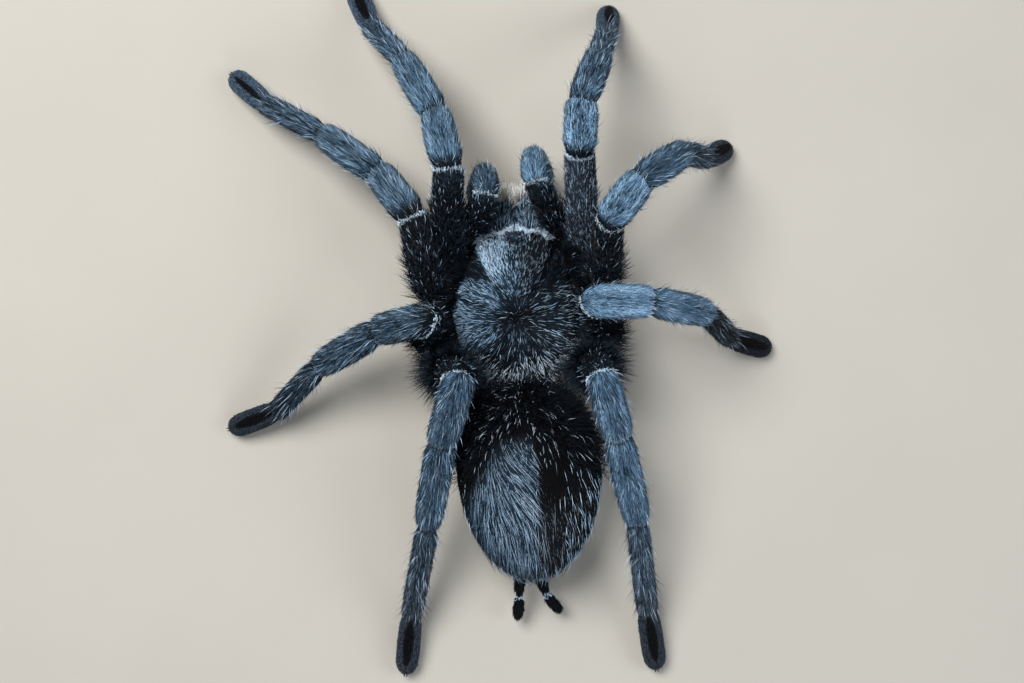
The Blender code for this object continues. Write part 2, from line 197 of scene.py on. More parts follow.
STANCE = {       # turns outward from straight ahead and rises from the level, in degrees
    "left": [
        ([-6, 11, 27, 38, 21], [44, -21, -24, -37]),
        ([8, 35, 52, 58, 46], [37, -26, -15, -21]),
        ([-19, 100, 117, 131, 108], [75, -32, -24, -31]),
        ([-115, 161, 167, 166, 171], [81, -25, -26, -28]),
        ([-30, 4, 155, 165], [62, -60, -62])],
    "right": [
        ([-1, 3, 23, 20, 11], [35, 45, -41, -59]),
        ([4, 40, 58, 88, 63], [50, 46, -42, -66]),
        ([-35, 94, 102, 129, 107], [65, 29, -40, -59]),
        ([170, 165, 169, 174, 173], [84, -32, -20, -29]),
        ([-27, 2, 155, 165], [54, -52, -60])]}
BODY = {         # how far the skin lies inside the outline, and the axis from front to rear
    "carapace": (0.35, (0, -28.6, 8.3), (0, 0.4, 8.3)),
    "eye_mound": (0.1, (0, -27.8, 15.4), (0, -25.4, 15.4)),
    "sternum_and_coxae": (0.45, (0, -26, 6), (0, -1, 6)),
    "pedicel": (0.1, (0, -4.2, 6.8), (0, 4.6, 6.8)),
    "abdomen": (0.7, (0, 0.75, 12.5), (-0.8, 38.4, 12.5)),
    "chelicera_left": (0.15, (2.75, -25.9, 9.4), (1.35, -35.2, 4.4)),
    "chelicera_right": (0.15, (-2.75, -25.9, 9.4), (-2.55, -35.2, 4.4)),
    "spinneret_left": (0.12, (1.9, 36.6, 6.4), (2.8, 46.8, 3.4)),
    "spinneret_right": (0.12, (-1.6, 36.6, 6.4), (-5.9, 45.7, 3.6))}
COAT_DEPTH = 0.30        # how far a limb's skin lies inside its outline
LIMB_RINGS = 16
FOOT_TIP = 0.35          # the corners this near to a foot's furthest one count as its tip
NECK = 1.6               # the length over which a part is drawn in after a joint
TOE = 0.75               # where along a foot its end starts to round off
SKIN_VOXEL = 0.48        # the grain of the finished surface


def heading(turn, rise, side):
    """A direction from its turn outward and its rise, in degrees."""
    turn, rise = math.radians(turn), math.radians(rise)
    return np.array((
        side * math.sin(turn) * math.cos(rise), -math.cos(turn) * math.cos(rise),
        math.sin(rise)))


def read(items, what, width=3, kind=np.float64):
    """One property of all the items of a mesh, a row to each."""
    values = np.empty(len(items) * width, dtype=kind)
    items.foreach_get(what, values)
    return values.reshape(-1, width)


def to_mesh(name, shape):
    """A mesh of a shape that is then done with."""
    mesh = bpy.data.meshes.new(name)
    shape.to_mesh(mesh)
    shape.free()
    return mesh


def limb_joints(hip, lengths, turns, rises, side, foot):
    """The joints of one limb; its foot points to the far end of the foot's node."""
    joints = [np.array((hip[0] * side, hip[1], hip[2])) * MM + waist]
    for length, turn, rise in zip(lengths, turns, rises):
        joints.append(joints[-1] + heading(turn, rise, side) * length * MM)
    points = read(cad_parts[foot].data.vertices, "co")
    reach = np.linalg.norm(points - joints[-1], axis=1)
    tip = points[reach > reach.max() - FOOT_TIP * MM].mean(axis=0)
    way = heading(turns[-1], 0, side)
    level = np.dot(tip - joints[-1], way)
    drop = math.sqrt(max((lengths[-1] * MM) ** 2 - level ** 2, 0.0))
    joints.append(joints[-1] + way * level - np.array((0, 0, drop)))
    return joints


limbs = {}
for side_name, side in (("left", 1), ("right", -1)):
    for number, ((hip, lengths), (turns, rises)) in enumerate(zip(LIMBS, STANCE[side_name]), 1):
        is_leg = number < len(LIMBS)
        limb = f"leg_{side_name}_{number}" if is_leg else f"palp_{side_name}"
        joints = limb_joints(hip, lengths, turns, rises, side, limb + "_tarsus")
        limbs[limb] = (*(LEG if is_leg else PALP), joints)


def unit(vectors):
    return vectors / np.maximum(np.linalg.norm(vectors, axis=-1, keepdims=True), 1e-12)


def limb_frame(start, end):
    """The directions along a limb, to its upper side and across it."""
    along = unit(end - start)
    across = unit(np.cross(along, (0.0, 0.0, 1.0)))
    return along, np.cross(across, along), across


def add_tube(bm, start, end, rings, depth, sides=20):
    """A closed tube; rings are (share of the length, half width, lift), in metres."""
    along, upper, across = limb_frame(start, end)
    length = np.linalg.norm(end - start)
    loops = []
    for share, radius, lift in rings:
        centre = start + along * length * share + upper * lift
        angles = [math.tau * step / sides for step in range(sides)]
        loops.append([
            bm.verts.new(centre + across * radius * math.cos(angle)
                         + upper * radius * depth * math.sin(angle))
            for angle in angles])
    for one, two in zip(loops, loops[1:]):
        for step in range(sides):
            after = (step + 1) % sides
            bm.faces.new((one[step], one[after], two[after], two[step]))
    bm.faces.new(loops[0][::-1])
    bm.faces.new(loops[-1])


def limb_rings(length, first, middle, last, foot):
    """The outline of one limb part: nearly even, drawn in a little towards each end."""
    rings = []
    for step in range(LIMB_RINGS + 1):
        share = step / LIMB_RINGS
        swell = math.sin(math.pi * share) ** 0.45
        radius = (first * (1 - share) + last * share) * (1 - swell) + middle * swell
        if share * length < NECK * MM:
            radius *= 0.84 + 0.16 * share * length / (NECK * MM)
        if foot and share > TOE:
            radius *= math.sqrt(max(1 - ((share - TOE) / 0.256) ** 2, 0.02))
        lift = 0.0 if foot else 0.06 * middle * MM * math.sin(math.pi * share)
        rings.append((share, (radius - COAT_DEPTH) * MM, lift))
    return rings


shape = bmesh.new()
for parts, joint_radii, middles, joints in limbs.values():
    for index, part in enumerate(parts):
        start, end = joints[index], joints[index + 1]
        foot = part == "tarsus"
        last = middles[index] if foot else joint_radii[index + 1]
        rings = limb_rings(
            np.linalg.norm(end - start), joint_radii[index], middles[index], last, foot)
        add_tube(shape, start, end, rings, 0.9 if foot else 1.04)
        ball = (joint_radii[index] * 0.88 - COAT_DEPTH) * MM
        bmesh.ops.create_uvsphere(
            shape, u_segments=18, v_segments=12, radius=ball,
            matrix=Matrix.Translation(Vector(start)))
for name, (depth, _, _) in BODY.items():
    part = bmesh.new()
    part.from_mesh(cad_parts[name].data)
    bmesh.ops.remove_doubles(part, verts=part.verts, dist=1e-6)
    bmesh.ops.recalc_face_normals(part, faces=part.faces)
    part.normal_update()
    for vert in part.verts:
        vert.co -= vert.normal * depth * MM
    made = to_mesh(name + "_inner", part)
    shape.from_mesh(made)
    bpy.data.meshes.remove(made)
CORE = ((0.0, -13.5, 8.4), (9.0, 10.5, 2.0))     # fills the gap between sternum and carapace
core_place = Matrix.Translation(Vector(waist) + Vector(CORE[0]) * MM)
bmesh.ops.create_uvsphere(
    shape, u_segments=24, v_segments=12, radius=MM,
    matrix=core_place @ Matrix.Diagonal((*CORE[1], 1)))
SPINNERET_ROOTS = [      # these join the spinnerets to the abdomen
    ((1.9, 34.5, 7.3), (2.0, 39.2, 5.9)), ((-1.6, 34.5, 7.3), (-2.2, 39.2, 5.9))]
ROOT_HALF = 0.95
for start, end in SPINNERET_ROOTS:
    add_tube(shape, np.array(start) * MM + waist, np.array(end) * MM + waist,
             [(0.0, ROOT_HALF * MM, 0.0), (1.0, ROOT_HALF * MM, 0.0)], 1.0)
raw = to_mesh("skin_raw", shape)
skin = add_object("skin", raw)
merge = skin.modifiers.new("merge", "REMESH")
merge.mode = "VOXEL"
merge.voxel_size = SKIN_VOXEL * MM
soften = skin.modifiers.new("soften", "SMOOTH")
soften.factor = 0.5
soften.iterations = 6
skin.data = bpy.data.meshes.new_from_object(
    skin.evaluated_get(bpy.context.evaluated_depsgraph_get()))
skin.modifiers.clear()
skin.data.name = "skin"
skin.data.shade_smooth()
bpy.data.meshes.remove(raw)

# Where each spot of the skin belongs: every CAD node has an axis, so a spot is known by its node,
# its share of the way along and its angle round from the top.  The markings and the lie of the
# coat are both worked out from these.
node_names = [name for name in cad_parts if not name.startswith("fang")]
node_number = {name: number for number, name in enumerate(node_names)}
axis_start = np.zeros((len(node_names), 3))
axis_end = np.zeros((len(node_names), 3))
node_part = np.array(["body" if name in BODY else name.split("_")[-1] for name in node_names])
limb_of = np.array([name.rsplit("_", 1)[0] for name in node_names])
for name, (_, start, end) in BODY.items():
    axis_start[node_number[name]] = np.array(start) * MM + waist
    axis_end[node_number[name]] = np.array(end) * MM + waist
for limb, (parts, _, _, joints) in limbs.items():
    for index, part in enumerate(parts):
        axis_start[node_number[f"{limb}_{part}"]] = joints[index]
        axis_end[node_number[f"{limb}_{part}"]] = joints[index + 1]
axis_length = np.linalg.norm(axis_end - axis_start, axis=1)
axis_along, axis_upper, axis_across = limb_frame(axis_start, axis_end)
plane_in, plane_out = axis_along.copy(), axis_along.copy()     # where a part meets its neighbours
for limb, (parts, _, _, _) in limbs.items():
    for before, after in zip(parts, parts[1:]):
        one, two = node_number[f"{limb}_{before}"], node_number[f"{limb}_{after}"]
        plane_out[one] = plane_in[two] = unit(axis_along[one] + axis_along[two])


def from_waist(points):
    """How far each point is from the waist: sideways, rearward and upward."""
    return ((points - waist) / MM).T


def on(nodes, name):
    """Which of the nodes are the named one."""
    return nodes == node_number[name]


def on_limbs(nodes, names):
    """Which of the nodes are parts of the named limbs."""
    return np.isin(limb_of, names)[nodes]


def place_on(points, nodes):
    """The share along and the angle round from the top of each point on its node."""
    offset = points - axis_start[nodes]
    share = (offset * axis_along[nodes]).sum(1) / axis_length[nodes]
    angle = np.arctan2(
        (offset * axis_across[nodes]).sum(1), (offset * axis_upper[nodes]).sum(1))
    return share, angle


def from_joints(points, nodes):
    """How far each point is from the joint before it and from the joint after it."""
    before = ((points - axis_start[nodes]) * plane_in[nodes]).sum(1)
    after = ((axis_end[nodes] - points) * plane_out[nodes]).sum(1)
    return before / MM, after / MM


def ramp(values, low, high):
    """0 below low, 1 above high and smooth between; the other way where high is the lower."""
    share = np.clip((values - low) / (high - low), 0.0, 1.0)
    return share * share * (3 - 2 * share)


def hump(values, centre, half):
    """1 at the centre, falling smoothly to 0 at a half width away."""
    return ramp(np.abs(values - centre), half, 0.0)


def waves(points, size, seed):
    """Smooth wandering numbers, mostly from -1 to 1, for locks and uneven colour."""
    draw = np.random.default_rng(seed)
    total = np.zeros(len(points))
    for _ in range(7):
        way = unit(draw.normal(size=3)) * draw.uniform(0.6, 1.5) * math.tau / (size * MM)
        total += np.sin(points @ way + draw.uniform(0, math.tau))
    return total / 4.0


SKIN_LOWEST = 0.05       # nothing of the model comes nearer to the floor than this
skin_points = read(skin.data.vertices, "co")
skin_points[:, 2] = np.maximum(skin_points[:, 2], SKIN_LOWEST * MM)
solid_points, solid_faces, solid_owner = [], [], []
for name in node_names:
    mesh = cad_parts[name].data
    mesh.calc_loop_triangles()
    first = len(solid_points)
    solid_points += [tuple(vert.co) for vert in mesh.vertices]
    solid_faces += [tuple(first + corner for corner in face.vertices) for face in mesh.loop_triangles]
    solid_owner += [node_number[name]] * len(mesh.loop_triangles)
solids = BVHTree.FromPolygons(solid_points, solid_faces)
skin_node = np.array([solid_owner[solids.find_nearest(Vector(spot))[2]] for spot in skin_points])

# The carapace's relief: the head stands up as a shield-shaped hump between two furrows.  They
# meet behind it, near the fovea, a pit from which shallow furrows run out between the legs.
FOVEA = np.array((0.1, -11.4))
HUMP_EDGE = [      # (y, half width)
    (-27.6, 8.0), (-25.5, 7.2), (-22.0, 5.9), (-20.0, 5.0), (-18.0, 4.2), (-16.6, 3.2),
    (-15.6, 1.9), (-15.0, 0.0)]
FURROWS = [      # heading from the fovea in degrees outward from straight back, depth, width
    (100, 0.45, 1.1), (64, 0.3, 1.0), (30, 0.25, 1.0)]
HUMP_FURROW_DEPTH = 0.95
PIT_DEPTH = 1.3


def hump_edge(y):
    """The half width of the head's hump at a place along the body."""
    return np.interp(y, *zip(*HUMP_EDGE))


def inside_hump(x, y, blur):
    """1 on the head's hump and 0 round it."""
    return ramp(hump_edge(y) - np.abs(x - 0.2), -blur, blur)


def round_spot(x, y, centre, half_x, half_y):
    """1 at the centre of a soft oval spot."""
    return np.exp(-(((x - centre[0]) / half_x) ** 2 + ((y - centre[1]) / half_y) ** 2))


x, y, z = from_waist(skin_points)
furrow = hump(np.abs(x), hump_edge(y) + 0.5, 1.5) * ramp(y, -27.0, -24.0) * ramp(y, -10.0, -12.5)
relief = -HUMP_FURROW_DEPTH * furrow
relief -= PIT_DEPTH * round_spot(x, y, FOVEA, 1.7, 0.9)
away = np.stack((x, y), 1) - FOVEA
for turn, depth, width in FURROWS:
    for side in (1, -1):
        way = np.array((math.sin(math.radians(turn)) * side, math.cos(math.radians(turn))))
        along = away @ way
        across = np.abs(away[:, 0] * way[1] - away[:, 1] * way[0])
        relief -= depth * hump(across, 0.0, width) * ramp(along, 0.5, 3.0) * ramp(along, 13.0, 8.0)
skin_points[:, 2] += relief * on(skin_node, "carapace") * ramp(z, 8.0, 10.5) * MM
skin.data.vertices.foreach_set("co", skin_points.ravel())
skin.data.update()
skin_normals = read(skin.data.vertices, "normal")

# The markings, the same on skin and coat.  Four masks: steel blue over black velvet, silver
# white, cream, and a dull charcoal in place of the blue.  Each femur ends in a pale rim; each
# patella, and less so each tibia, has two paler bands down its back, and most have a dark base.
STEEL, SILVER, CREAM, CHARCOAL = range(4)
PART_LOOKS = {   # how blue; where the dark base ends, where the full colour starts and the base's
                 # share of it; how pale the bands are
    "patella": (1.0, 1.1, 2.4, 0.08, 0.34), "tibia": (0.95, 0.2, 1.3, 0.35, 0.22),
    "metatarsus": (0.85, 0.2, 1.3, 0.35, 0.12)}
# Part of how the limbs differ below, in blueness and in their share of bright hairs, is painted light
# and shade, set limb by limb.
LIMB_LOOKS = {   # how blue the limb, its metatarsus and its foot are; how dull the last two are;
                 # how wide the black patch on the foot is; how pale the ends of patella and tibia
                 # are; how many of the long hairs are bright
    "leg_left_1": (0.98, 1.0, 0.75, 0.0, 0.50, 1.0, 1.0, 1.0, 1.0),
    "leg_left_2": (0.67, 1.0, 0.75, 0.0, 0.50, 0.62, 0.25, 0.25, 1.0),
    "leg_left_3": (0.54, 0.75, 0.42, 0.0, 0.80, 1.0, 0.25, 1.0, 1.0),
    "leg_left_4": (0.74, 1.0, 0.50, 0.35, 0.80, 1.0, 1.6, 1.0, 1.0),
    "leg_right_1": (1.0, 1.0, 0.70, 0.0, 0.50, 1.0, 0.25, 1.0, 1.0),
    "leg_right_2": (1.0, 0.42, 0.50, 0.0, 0.80, 1.0, 0.25, 0.25, 1.35),
    "leg_right_3": (1.0, 0.13, 0.20, 0.35, 0.80, 1.0, 1.0, 0.25, 1.7),
    "leg_right_4": (1.0, 1.0, 0.42, 0.35, 0.80, 1.0, 1.8, 1.0, 1.0),
    "palp_left": (0.75, 1.0, 0.60, 0.0, 0.35, 1.0, 0.25, 0.25, 1.1),
    "palp_right": (1.35, 1.0, 1.0, 0.0, 0.35, 1.0, 0.25, 0.25, 2.1)}
(limb_blue, metatarsus_blue, foot_blue, metatarsus_dull, foot_dull, patch_width, patella_end,
 tibia_end, limb_bright) = np.array([LIMB_LOOKS.get(limb, (1.0,) * 9) for limb in limb_of]).T
EVEN_LIMBS = [           # their patellae have next to no dark base
    "palp_left", "palp_right", "leg_right_3", "leg_right_4", "leg_left_4"]
BAND_ANGLE = 0.72        # how far round from the top each pale band is
FOOT_PATCH = 0.50        # half the width of the black patch on a foot's top, as an angle
GREY_FEMORA = {"leg_right_1": 0.95, "leg_right_2": 0.12, "leg_left_2": 0.10}
PLAIN_MARKS = {          # the same four masks all over each
    "chelicera_left": (1.0, 0.4, 0.0, 0.3), "chelicera_right": (1.0, 0.4, 0.0, 0.3),
    "eye_mound": (0.45, 0.25, 0.0, 0.0)}


def abdomen_marks(x, y, z):
    """A swept brush and a silver streak on the left of the front, and a blue rear; painted shade
    darkens it lower down and towards the outline, and the right half is duller, partly as painted
    shade.
    """
    brush = ramp(x, -2.4, -0.7) * ramp(0.55 * (y - 10.4) + 4.6 - x, -1.6, 1.6) * ramp(y, 9.0, 14.5)
    streak = hump(x, 3.8 - 0.34 * (y - 12.4), 2.6) * ramp(y, 10.5, 14.5) * ramp(y, 27.0, 20.0)
    rear = ramp(y, 21.0, 27.0) * (0.34 + 0.56 * ramp(x, -7.0, 0.0))
    right = ramp(x, -7.2, -9.6) * ramp(y, 8.0, 20.0)
    # low is painted shade: the colour darkens lower down the sides and towards the outline
    low = 0.10 + 0.90 * ramp(z, 12.0, 19.0)
    low *= 0.30 + 0.70 * ramp(np.hypot(x / 13.4, (y - 20.5) / 19.5), 0.98, 0.66)
    steel = 0.45 * np.maximum(np.maximum(brush, rear * 0.66), right * 0.16) * low
    silver = np.maximum(0.95 * streak, 0.25 * np.maximum(brush, 1.4 * rear))
    cream = 0.12 * ramp(x, -1.0, -4.0) * ramp(y, 18.0, 24.0)
    # the right half is duller and creamier, partly as painted shade on the side away from the key
    # lamp
    return steel, silver, cream, 0.5 * ramp(x, -1.0, -4.0)


def painted_head_highlight(x, y):
    """1 on the left of the head's hump, where a painted highlight makes it brightest."""
    return ramp(x, -1.5, 4.5) * ramp(y, -16.0, -20.5)


def carapace_marks(x, y, _):
    """A blue hump with a dark spot, a painted highlight on its left and painted shade on its right; a
    blue left flank cut by a groove and brighter than the right flank partly as painted light; and a
    black pit. The groove and the pit are darkened as painted shade.
    """
    inside = inside_hump(x, y, 0.9)
    lit = painted_head_highlight(x, y)
    head = inside * (0.30 + 0.70 * lit) * ramp(y, -27.2, -25.6)
    # painted shade: the right of the hump is darker
    head *= 1 - 0.5 * ramp(x, -1.4, -3.2)
    head *= 1 - 0.55 * round_spot(x, y, (0.3, -23.0), 2.3, 2.0)
    # the groove's darkening on the flank is painted shade
    groove = hump((x - 3.3) * 0.46 + (y + 12.0) * 0.89, 0.0, 1.5) * ramp(x, 1.5, 3.5)
    # the left flank is brighter than the right partly as painted light from the left
    flank = (1 - inside) * ramp(x, 1.5, 5.0) * ramp(y, -20.0, -17.0) \
        * ramp(y, -4.0, -8.5) * (1 - 0.85 * groove) \
        * (1 - 0.6 * ramp(y, -13.5, -11.5) * ramp(x, 9.0, 6.0))
    other = (1 - inside) * ramp(x, -1.0, -4.0) * ramp(y, -18.5, -14.0)
    middle = hump(x, 0.0, 3.5) * (1 - inside)
    # the pit's darkening is painted shade
    pit = round_spot(x, y, FOVEA, 3.2, 2.0)
    steel = np.maximum.reduce([head, flank * 0.85, other * 0.18, middle * 0.18]) + 0.08
    silver = 0.20 * inside + 0.70 * inside * lit + 0.55 * flank + 0.20 * middle
    return steel * (1 - 0.9 * pit), silver, 0.35 * other, 0.6 * inside * ramp(x, 1.0, -2.0)


def markings(points, nodes):
    """The four masks at each point."""
    share, angle = place_on(points, nodes)
    before, after = from_joints(points, nodes)
    aside = np.abs(angle)
    part = node_part[nodes]
    on_palp = on_limbs(nodes, ["palp_left", "palp_right"])
    marks = np.zeros((len(points), 4))
    marks[:, STEEL] = 0.03
    # top is 1 on the upper side of a limb part and 0 low on its sides; the colour fading with it down
    # the sides of the parts and of the grey femora is painted shade
    top = ramp(aside, 1.75, 0.75)
    stripes = hump(aside, BAND_ANGLE, 0.5)
    even = on_limbs(nodes, EVEN_LIMBS) & (part == "patella")
    edge = 0.55 * hump(after, 0.2, 0.5) * ramp(aside, 1.9, 1.3)
    for name, (blue, dark, full, least, pale) in PART_LOOKS.items():
        here = part == name
        base = least + (1 - least) * ramp(before, dark, full)
        steel = blue * (0.20 + 0.80 * top) * (0.70 + 0.30 * stripes) * limb_blue[nodes]
        marks[here, STEEL] = (steel * np.where(even, 0.9 + 0.1 * base, base))[here]
        bands = (pale + 0.2 * on_palp) * hump(aside, BAND_ANGLE, 0.45)
        bands *= ramp(before, full, full + 1.5)
        marks[here, SILVER] = np.maximum(bands, edge)[here]
    here = part == "metatarsus"
    marks[here, STEEL] *= metatarsus_blue[nodes][here]
    marks[here, CHARCOAL] = (0.15 + 0.35 * ramp(share, 0.5, 1.0) + metatarsus_dull[nodes])[here]
    here = part == "tarsus"
    patch = FOOT_PATCH * np.sqrt(np.sin(math.pi * np.clip((share + 0.02) / 0.80, 0, 1)))
    patch *= patch_width[nodes]
    open_top = ramp(aside - patch, -0.08, 0.12) * ramp(aside, 2.2, 1.7)
    marks[here, STEEL] = ((0.02 + 0.98 * open_top) * foot_blue[nodes])[here]
    marks[here, CHARCOAL] = foot_dull[nodes][here]
    here = part == "femur"
    rim = hump(after, 0.2, 0.6) * ramp(aside, 2.5, 2.0)
    marks[here, SILVER] = (0.5 * rim)[here]
    marks[here, CREAM] = (0.5 * rim)[here]
    marks[here, STEEL] = (0.03 + 0.10 * ramp(share, 0.75, 0.95) * top)[here]
    for name, grey in GREY_FEMORA.items():
        here = on(nodes, name + "_femur")
        marks[here, STEEL] = (grey * (0.4 + 0.6 * top))[here]
        marks[here, CHARCOAL] = 0.80
    for name, paint in (("abdomen", abdomen_marks), ("carapace", carapace_marks)):
        here = on(nodes, name)
        marks[here] = np.stack(paint(*from_waist(points[here])), 1)
    for name, masks in PLAIN_MARKS.items():
        marks[on(nodes, name)] = masks
    return marks


def colour_layer(mesh, name, colours):
    """Keeps four numbers for each corner point of a mesh, for its finish to read."""
    mesh.color_attributes.new(name, "FLOAT_COLOR", "POINT").data.foreach_set(
        "color", colours.ravel())


colour_layer(skin.data, "marks", markings(skin_points, skin_node))

# The bright tones, STEEL_BRIGHT most, are partly painted highlight: the hair's gloss is put into its
# colour.
VELVET = (0.0013, 0.0015, 0.0026)
STEEL_DEEP = (0.0055, 0.0155, 0.033)
STEEL_BRIGHT = (0.275, 0.52, 0.79)
SILVER_TONE = (0.62, 0.77, 0.92)
CREAM_TONE = (0.80, 0.77, 0.68)
CHARCOAL_DEEP = (0.008, 0.010, 0.016)
CHARCOAL_BRIGHT = (0.20, 0.235, 0.30)


def marked_colour(finish, tone):
    """The coat's colour from the markings; tone runs from a dark hair to a bright one."""
    steel, silver, cream, charcoal = finish.attribute("marks")
    blue = finish.mix(STEEL_DEEP, STEEL_BRIGHT, tone)
    grey = finish.mix(CHARCOAL_DEEP, CHARCOAL_BRIGHT, tone)
    colour = finish.mix(VELVET, finish.mix(blue, grey, charcoal), steel)
    colour = finish.mix(colour, SILVER_TONE, silver * tone * tone)
    return finish.mix(colour, CREAM_TONE, cream * tone * tone)


skin_finish = Finish("cuticle")
mottle = skin_finish.node("ShaderNodeTexNoise", inputs={"Scale": 900.0, "Detail": 3.0})
# The cuticle is painted at half the coat's colour: painted shade for the dark between the hairs.
skin_finish.set(
    Base_Color=skin_finish.scale(marked_colour(skin_finish, 0.2 * mottle), 0.5),
    Roughness=0.8, Specular_IOR_Level=0.06,
    Normal=skin_finish.node(
        "ShaderNodeBump", inputs={"Strength": 0.4, "Distance": 0.0002, "Height": mottle}))
skin.data.materials.clear()
skin.data.materials.append(skin_finish.material)
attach(skin, "root")
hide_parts(*node_names)

# The fangs: hard, black and glossy horn, with faint brown clouds all over, painted for the light that
# gets into thin horn.
# They keep the shape that the frame gives them.
fang_finish = Finish("horn")
cloud = fang_finish.node("ShaderNodeTexNoise", inputs={"Scale": 400.0, "Detail": 2.0})
fang_finish.set(
    Base_Color=fang_finish.mix((0.010, 0.006, 0.005), (0.030, 0.014, 0.009), cloud),
    Roughness=0.14, Coat_Weight=0.4)
for name in ("fang_left", "fang_right"):
    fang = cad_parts[name]
    fang.data.materials.clear()
    fang.data.materials.append(fang_finish.material)

# The eyes: eight clear black lenses packed on the mound, four to each side, of which two look
# forward and two back.  Each is a ball sunk in the mound so that its cap shows.
EYE_MOUND = (-0.1, -26.6, 15.4)
EYES = [         # sideways, along, up from the mound's middle and radius, on one side
    (0.72, -0.62, 0.62, 0.38), (1.42, -0.72, 0.12, 0.42),
    (1.55, 0.48, 0.38, 0.36), (0.98, 0.66, 0.66, 0.28)]
EYE_SINK = 0.03          # how far a lens stays inside its place's outline
eye_shape = bmesh.new()
for side in (1, -1):
    for across, along, up, radius in EYES:
        place = Vector(EYE_MOUND) + Vector((across * side, along, up))
        bmesh.ops.create_uvsphere(
            eye_shape, u_segments=24, v_segments=16, radius=(radius - EYE_SINK) * MM,
            matrix=Matrix.Translation(Vector(waist) + place * MM))
eyes_mesh = to_mesh("eyes", eye_shape)
eyes_mesh.shade_smooth()
eyes = add_object("eyes", eyes_mesh)
eye_finish = Finish("lens")
depth = eye_finish.node("ShaderNodeTexNoise", inputs={"Scale": 500.0, "Detail": 1.0})
eye_finish.set(
    Base_Color=eye_finish.mix((0.002, 0.002, 0.003), (0.010, 0.012, 0.018), depth),
    Roughness=0.06, Specular_IOR_Level=0.35)
eyes_mesh.materials.append(eye_finish.material)
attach(eyes, "root")

# The lie of the coat: down each limb towards the foot, outward from the fovea over the carapace,
# back from the waist over the abdomen, where the left brush is swept in towards the middle.  The
# hair is made as tufts, each a slim closed spike of its own that stands in the skin.
def along_skin(way, normals):
    """Directions laid down along the skin."""
    return unit(way - (way * normals).sum(1, keepdims=True) * normals)


def lie(points, nodes, normals):
    """The direction in which the coat lies at each point, along the skin."""
    way = axis_along[nodes].copy()
    x, y, _ = from_waist(points)
    flat = np.zeros(len(x))
    swept = -0.95 * hump(x, 2.0, 7.0) * ramp(y, 8.5, 13.0) * ramp(y, 33.0, 16.0)
    spread = x / 14.2 * (0.10 + 0.45 * ramp(y, 12.0, 34.0)) - 0.25 * ramp(x, -7.0, -13.0)
    ways = {
        "carapace": (x - FOVEA[0] + 0.25 * x, y - FOVEA[1] + 1.5 * ramp(y, -14.0, -4.0), flat),
        "sternum_and_coxae": (x, 0.55 * (y + 13.5), flat),
        "eye_mound": (x, y - EYE_MOUND[1], flat),
        "abdomen": (swept + spread, flat + 1.0, -0.25 * ramp(y, 26.0, 38.0))}
    for name, out in ways.items():
        here = on(nodes, name)
        way[here] = unit(np.stack(out, 1))[here]
    return along_skin(way, normals)


skin_corners = read(skin.data.loops, "vertex_index", 1, np.int64).reshape(-1, 4)
face_area = read(skin.data.polygons, "area", 1)[:, 0] / (MM * MM)
face_node = skin_node[skin_corners[:, 0]]
face_part = node_part[face_node]
face_middle = skin_points[skin_corners].mean(axis=1)
face_up = unit(skin_normals[skin_corners].mean(axis=1))[:, 2]
face_share, face_angle = place_on(face_middle, face_node)
face_aside = np.abs(face_angle)
on_part = {name: on(face_node, name) for name in BODY}
draw = np.random.default_rng(7)


class Roots:
    """Where a piece's tufts stand and how they grow: arrays with one row to a tuft."""

    def __init__(self, **arrays):
        vars(self).update(arrays)


def scatter(density):
    """Roots at random over the skin, by the number to a square millimetre of each face."""
    faces = np.repeat(np.arange(len(face_area)), draw.poisson(density * face_area))
    across, down = draw.random((2, len(faces), 1))
    weights = ((1 - across) * (1 - down), across * (1 - down), across * down, (1 - across) * down)
    place, normal = (
        sum(weight * values[skin_corners[faces, corner]] for corner, weight in enumerate(weights))
        for values in (skin_points, skin_normals))
    node = face_node[faces]
    share, angle = place_on(place, node)
    return Roots(
        place=place, normal=unit(normal), node=node, part=node_part[node], share=share,
        angle=angle, marks=markings(place, node))


def turned_by(way, normal, angle):
    """Directions along the skin, turned about its normal."""
    angle = np.asarray(angle)[:, None]
    return way * np.cos(angle) + np.cross(normal, way) * np.sin(angle)


PATCH = 0.003            # the width of one tuft's patch on the map that its colours are kept on
hair_finish = Finish("hair")
tone, along_hair = hair_finish.attribute("strand")[:2]
# Each hair is painted darker towards its root: painted shade deep in the coat.
hair_finish.set(
    Base_Color=hair_finish.scale(marked_colour(hair_finish, tone), 0.6 + 0.6 * along_hair),
    Roughness=0.55, Specular_IOR_Level=0.13)


